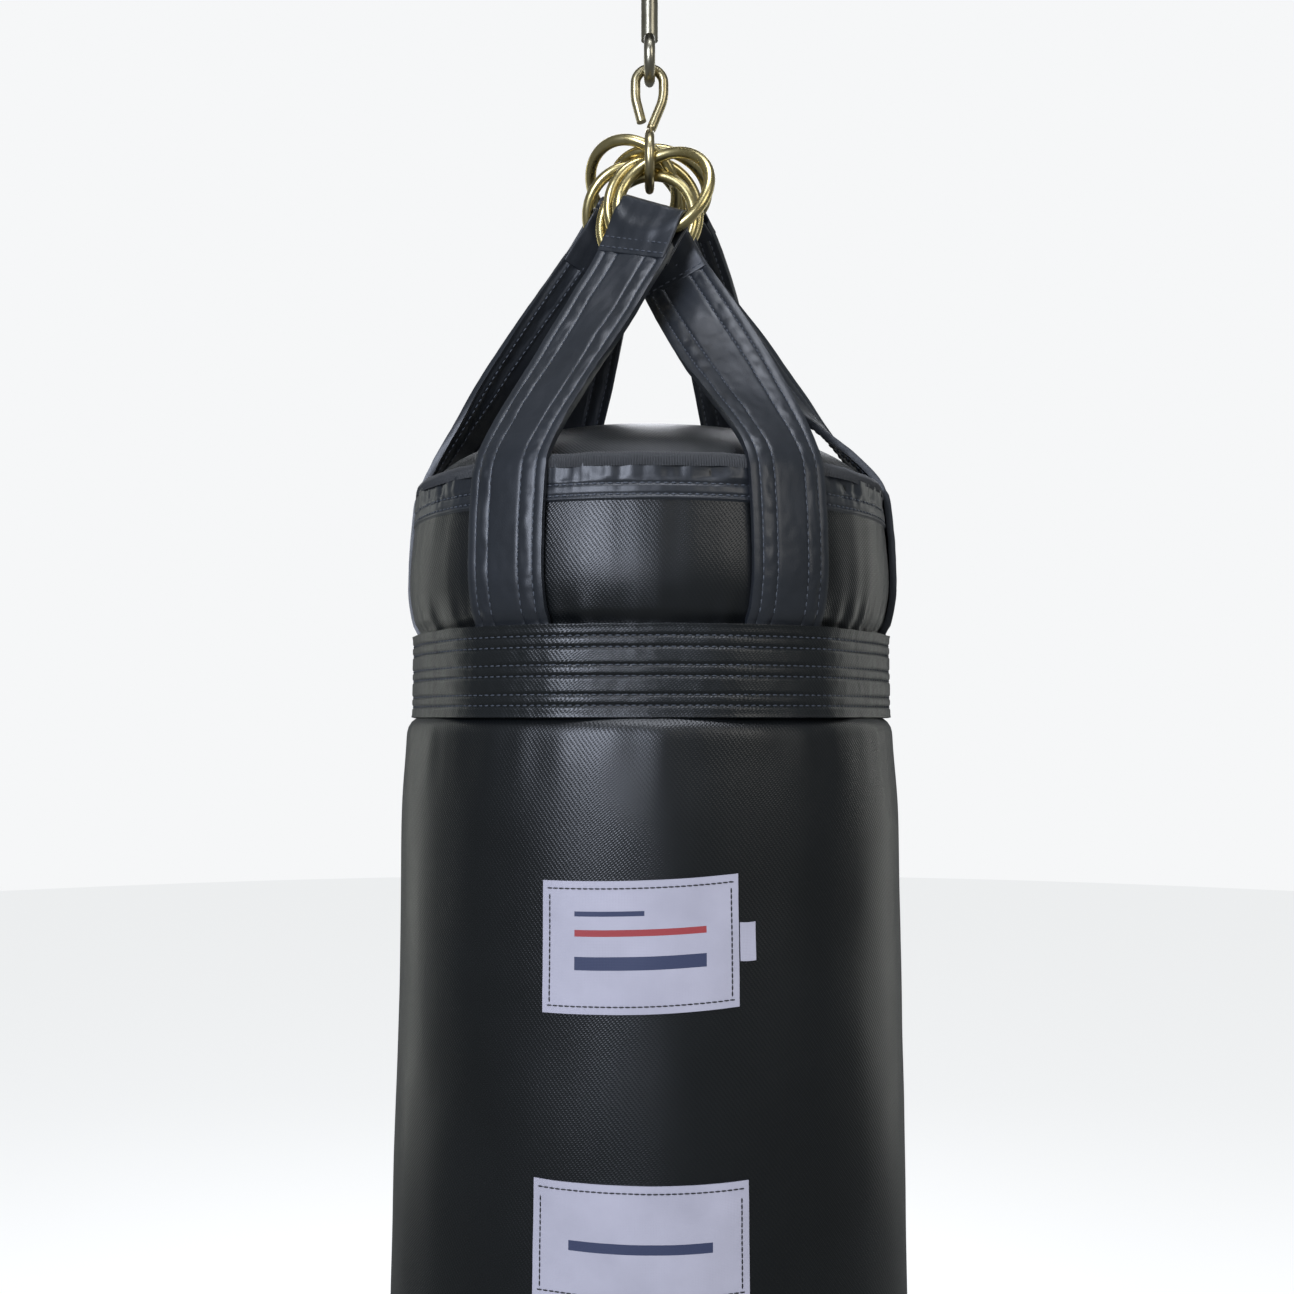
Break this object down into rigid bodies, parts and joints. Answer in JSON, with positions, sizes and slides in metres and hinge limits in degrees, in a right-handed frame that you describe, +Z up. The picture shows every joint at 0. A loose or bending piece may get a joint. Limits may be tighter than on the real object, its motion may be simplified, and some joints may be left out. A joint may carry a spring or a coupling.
{
  "type": "hanging punching bag",
  "caption": "Hanging heavy punching bag: a stuffed vinyl cylinder with a sewn belt, hung by straps and steel rings from an S-hook and a ceiling swivel.",
  "frame": {"origin": "centre of the ceiling plate's upper face, where it meets the ceiling", "axes": "+Z up, out of the plate into the ceiling; the bag hangs along -Z; -Y is the front, where the patches are sewn; +X is the right seen from the front"},
  "size_m": [0.366, 0.366, 1.6284],
  "materials": {
    "powder_coat": "satin",
    "bearing_steel": "polished",
    "zinc_plate": "satin",
    "yellow_zinc_plate": "satin",
    "strap_vinyl": "satin",
    "woven_vinyl": "semi-gloss",
    "binding_tape": "matt",
    "foam": "matt",
    "rag_filling": "matt",
    "patch_cloth": "matt"
  },
  "bodies": {
    "ceiling_mount": {"ceiling_plate": "powder_coat", "swivel_housing": "powder_coat", "lower_bearing_race": "bearing_steel", "bearing_balls": "bearing_steel"},
    "swivel": {"swivel_eye": "zinc_plate", "upper_bearing_race": "bearing_steel", "swivel_nut": "zinc_plate"},
    "s_hook": {"s_hook": "zinc_plate"},
    "bag": {"belt": "strap_vinyl", "upper_wall": "woven_vinyl", "lower_wall": "woven_vinyl", "top_cover": "woven_vinyl", "rim_binding": "binding_tape", "rim_band": "woven_vinyl", "bottom_panel": "woven_vinyl", "bottom_binding": "binding_tape", "foam_liner": "foam", "textile_filling": "rag_filling", "front_patch": "patch_cloth", "side_tab": "patch_cloth", "lower_patch": "patch_cloth", "strap_front_left": "strap_vinyl", "strap_left": "strap_vinyl", "strap_front_right": "strap_vinyl", "strap_right": "strap_vinyl", "strap_back_right": "strap_vinyl", "strap_back_left": "strap_vinyl"},
    "ring_front_left": {"ring_front_left": "yellow_zinc_plate"},
    "ring_left": {"ring_left": "yellow_zinc_plate"},
    "ring_front_right": {"ring_front_right": "yellow_zinc_plate"},
    "ring_right": {"ring_right": "yellow_zinc_plate"},
    "ring_back_right": {"ring_back_right": "yellow_zinc_plate"},
    "ring_back_left": {"ring_back_left": "yellow_zinc_plate"}
  },
  "joints": [
    {"name": "swivel_turn", "type": "hinge", "parent": "ceiling_mount", "child": "swivel", "pos_m": [0, 0, -0.097], "axis": [0, 0, 1], "continuous": true},
    {"name": "s_hook_swing", "type": "hinge", "parent": "swivel", "child": "s_hook", "pos_m": [0, 0, -0.111], "axis": [0, 1, 0], "range_deg": [-15, 15]},
    {"name": "bag_swing", "type": "hinge", "parent": "s_hook", "child": "bag", "pos_m": [0, 0, -0.1694], "axis": [1, 0, 0], "range_deg": [-20, 20]},
    {"name": "ring_front_left_turn", "type": "hinge", "parent": "bag", "child": "ring_front_left", "pos_m": [0.00934, -0.02661, -0.20156], "axis": [-0.3975, -0.8447, 0.3585], "continuous": true},
    {"name": "ring_left_turn", "type": "hinge", "parent": "bag", "child": "ring_left", "pos_m": [-0.0108, 0.02221, -0.20059], "axis": [0.1317, -0.9055, -0.4033], "continuous": true},
    {"name": "ring_front_right_turn", "type": "hinge", "parent": "bag", "child": "ring_front_right", "pos_m": [-0.0018, -0.0039, -0.21425], "axis": [-0.2964, -0.9508, 0.0904], "continuous": true},
    {"name": "ring_right_turn", "type": "hinge", "parent": "bag", "child": "ring_right", "pos_m": [0.00325, 0.00786, -0.20217], "axis": [0.3568, -0.9241, -0.1369], "continuous": true},
    {"name": "ring_back_right_turn", "type": "hinge", "parent": "bag", "child": "ring_back_right", "pos_m": [0.00799, 0.03182, -0.17684], "axis": [-0.1822, -0.4763, -0.8602], "continuous": true},
    {"name": "ring_back_left_turn", "type": "hinge", "parent": "bag", "child": "ring_back_left", "pos_m": [-0.01197, 0.02104, -0.17999], "axis": [-0.4249, -0.6457, -0.6345], "continuous": true}
  ]
}
